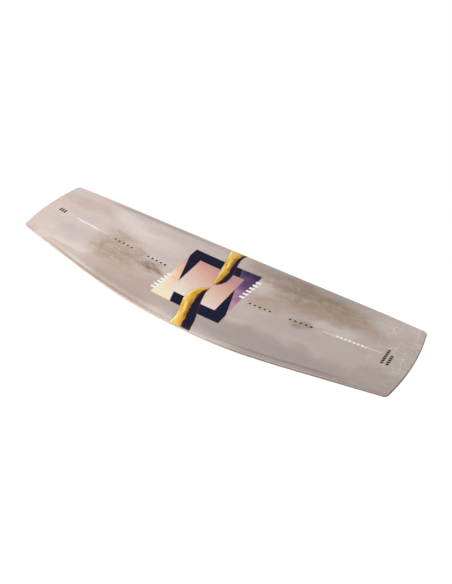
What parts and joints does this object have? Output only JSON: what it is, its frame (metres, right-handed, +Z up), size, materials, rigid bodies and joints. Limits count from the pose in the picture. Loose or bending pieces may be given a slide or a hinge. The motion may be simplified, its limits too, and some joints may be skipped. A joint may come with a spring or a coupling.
{
  "type": "wakeboard",
  "caption": "Twin-tip wakeboard with curved rails, square rounded tips, gentle rocker, rows of screw inserts in the deck for two bindings, and small removable fins below.",
  "frame": {"origin": "middle of the flat spot on the underside, on the board's centreline", "axes": "+X towards the nose, +Y towards the left rail, +Z up out of the deck"},
  "size_m": [1.472, 0.41, 0.0719],
  "materials": {
    "deck_print": "gloss, printed sand-coloured pattern",
    "glass_laminate": "resin-wetted glass fibre, cut edge",
    "base_plastic": "satin, finely ground lengthways",
    "sidewall_plastic": "satin, sanded",
    "core_wood": "raw",
    "stringer_wood": "raw",
    "block_plastic": "matte",
    "insert_metal": "turned",
    "fin_plastic": "moulded, fine texture",
    "screw_steel": "satin stainless"
  },
  "bodies": {
    "board": {"deck_sheet": "deck_print", "upper_laminate": "glass_laminate", "lower_laminate": "glass_laminate", "base_sheet": "base_plastic", "left_sidewall": "sidewall_plastic", "right_sidewall": "sidewall_plastic", "nose_tip_spacer": "sidewall_plastic", "tail_tip_spacer": "sidewall_plastic", "centre_core_plank": "core_wood", "nose_core_plank": "core_wood", "tail_core_plank": "core_wood", "left_inner_core_plank": "core_wood", "right_inner_core_plank": "core_wood", "left_outer_core_plank": "core_wood", "right_outer_core_plank": "core_wood", "left_inner_stringer": "stringer_wood", "right_inner_stringer": "stringer_wood", "left_outer_stringer": "stringer_wood", "right_outer_stringer": "stringer_wood", "nose_stance_block": "block_plastic", "tail_stance_block": "block_plastic", "nose_outer_stance_inserts": "insert_metal", "nose_inner_stance_inserts": "insert_metal", "tail_inner_stance_inserts": "insert_metal", "tail_outer_stance_inserts": "insert_metal", "nose_left_fin_block": "block_plastic", "nose_right_fin_block": "block_plastic", "tail_left_fin_block": "block_plastic", "tail_right_fin_block": "block_plastic", "nose_left_fin_inserts": "insert_metal", "nose_right_fin_inserts": "insert_metal", "tail_left_fin_inserts": "insert_metal", "tail_right_fin_inserts": "insert_metal"},
    "nose_left_fin_unit": {"nose_left_fin": "fin_plastic", "nose_left_fin_screws": "screw_steel"},
    "nose_right_fin_unit": {"nose_right_fin": "fin_plastic", "nose_right_fin_screws": "screw_steel"},
    "tail_left_fin_unit": {"tail_left_fin": "fin_plastic", "tail_left_fin_screws": "screw_steel"},
    "tail_right_fin_unit": {"tail_right_fin": "fin_plastic", "tail_right_fin_screws": "screw_steel"}
  },
  "joints": [
    {"name": "nose_left_fin_removal", "type": "slide", "parent": "board", "child": "nose_left_fin_unit", "axis": [0.1137, 0, -0.9935], "range_m": [0, 0.02]},
    {"name": "nose_right_fin_removal", "type": "slide", "parent": "board", "child": "nose_right_fin_unit", "axis": [0.1137, 0, -0.9935], "range_m": [0, 0.02]},
    {"name": "tail_left_fin_removal", "type": "slide", "parent": "board", "child": "tail_left_fin_unit", "axis": [-0.1137, 0, -0.9935], "range_m": [0, 0.02]},
    {"name": "tail_right_fin_removal", "type": "slide", "parent": "board", "child": "tail_right_fin_unit", "axis": [-0.1137, 0, -0.9935], "range_m": [0, 0.02]}
  ]
}
